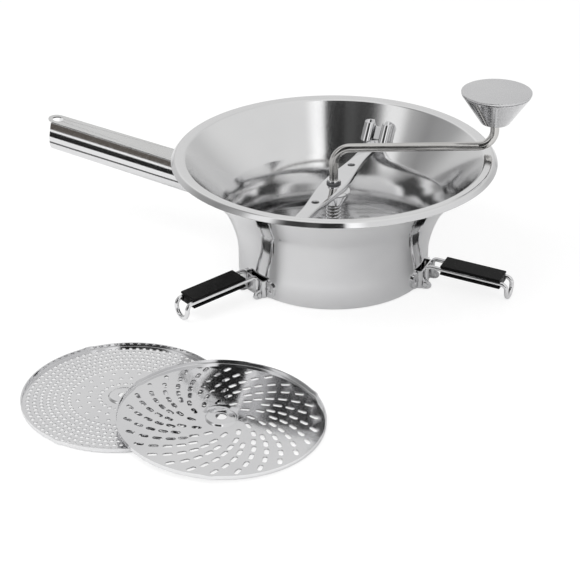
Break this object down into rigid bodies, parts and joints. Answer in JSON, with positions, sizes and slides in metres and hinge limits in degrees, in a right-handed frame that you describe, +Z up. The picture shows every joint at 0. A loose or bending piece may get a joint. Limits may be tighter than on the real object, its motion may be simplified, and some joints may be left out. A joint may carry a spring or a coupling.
{
  "type": "hand-cranked food mill",
  "caption": "Stainless steel food mill with a flared bowl, long channel handle, folding wire legs, sprung crank with a cone knob, a fitted disc and spare discs beside it.",
  "frame": {"origin": "centre of the whole set's box, on the surface that the mill and its spare discs stand on", "axes": "+Z up along the mill's crank axis, +X from the handle towards the bowl, the spare discs lie towards -Y"},
  "size_m": [0.3948, 0.4474, 0.1452],
  "materials": {
    "polished_steel": "mirror polished stainless steel",
    "satin_steel": "satin stainless steel",
    "black_rubber": "glossy black rubber",
    "dark_nylon": "matte dark nylon"
  },
  "bodies": {
    "mill": {"bowl_shell": "polished_steel", "handle_channel": "polished_steel", "handle_top_plate": "polished_steel", "handle_mount": "polished_steel", "catch_back": "polished_steel", "catch_front": "polished_steel", "disc_medium": "polished_steel", "leg_bracket_a": "polished_steel", "leg_bracket_b": "polished_steel", "leg_bracket_c": "polished_steel", "leg_strap_a_left": "polished_steel", "leg_strap_a_right": "polished_steel", "leg_strap_b_left": "polished_steel", "leg_strap_b_right": "polished_steel", "leg_strap_c_left": "polished_steel", "leg_strap_c_right": "polished_steel"},
    "bridge": {"bridge_bar": "polished_steel", "bridge_bushing": "dark_nylon", "spring_cup": "polished_steel"},
    "lift": {"thrust_washer": "polished_steel", "pressure_spring": "polished_steel"},
    "crank": {"crank_rod": "polished_steel", "shaft_collar": "polished_steel", "blade_hub": "polished_steel", "agitator_blade": "polished_steel", "knob_retainer": "polished_steel"},
    "knob": {"knob_shell": "polished_steel", "knob_cap": "satin_steel", "knob_bush": "dark_nylon"},
    "leg_a": {"leg_wire_a": "polished_steel", "leg_pad_a": "black_rubber"},
    "leg_b": {"leg_wire_b": "polished_steel", "leg_pad_b": "black_rubber"},
    "leg_c": {"leg_wire_c": "polished_steel", "leg_pad_c": "black_rubber"},
    "fine_disc": {"disc_fine": "polished_steel"},
    "coarse_disc": {"disc_coarse": "polished_steel"}
  },
  "joints": [
    {"name": "bridge_turn", "type": "hinge", "parent": "mill", "child": "bridge", "pos_m": [0.0521, 0.09434, 0.0715], "axis": [0, 0, 1], "range_deg": [0, 25]},
    {"name": "press_lift", "type": "slide", "parent": "bridge", "child": "lift", "axis": [0, 0, 1], "range_m": [0, 0.004], "stiffness_N_per_m": 1500, "springref_m": -0.006, "deforming": ["pressure_spring"]},
    {"name": "crank_spin", "type": "hinge", "parent": "lift", "child": "crank", "pos_m": [0.0521, 0.09434, 0.0715], "axis": [0, 0, 1], "continuous": true},
    {"name": "knob_spin", "type": "hinge", "parent": "crank", "child": "knob", "pos_m": [0.16374, 0.14475, 0.13], "axis": [0, 0, 1], "continuous": true},
    {"name": "leg_fold_a", "type": "hinge", "parent": "mill", "child": "leg_a", "pos_m": [0.1321, 0.09434, 0.0038], "axis": [0, 1, 0], "range_deg": [0, 165]},
    {"name": "leg_fold_b", "type": "hinge", "parent": "mill", "child": "leg_b", "pos_m": [0.0121, 0.16362, 0.0038], "axis": [-0.866, -0.5, 0], "range_deg": [0, 165]},
    {"name": "leg_fold_c", "type": "hinge", "parent": "mill", "child": "leg_c", "pos_m": [0.0121, 0.02505, 0.0038], "axis": [0.866, -0.5, 0], "range_deg": [0, 165]},
    {"name": "fine_disc_lift", "type": "slide", "parent": "mill", "child": "fine_disc", "axis": [0, 0, 1], "range_m": [0, 0.16]},
    {"name": "coarse_disc_lift", "type": "slide", "parent": "fine_disc", "child": "coarse_disc", "axis": [0, 0, 1], "range_m": [0, 0.16]}
  ]
}
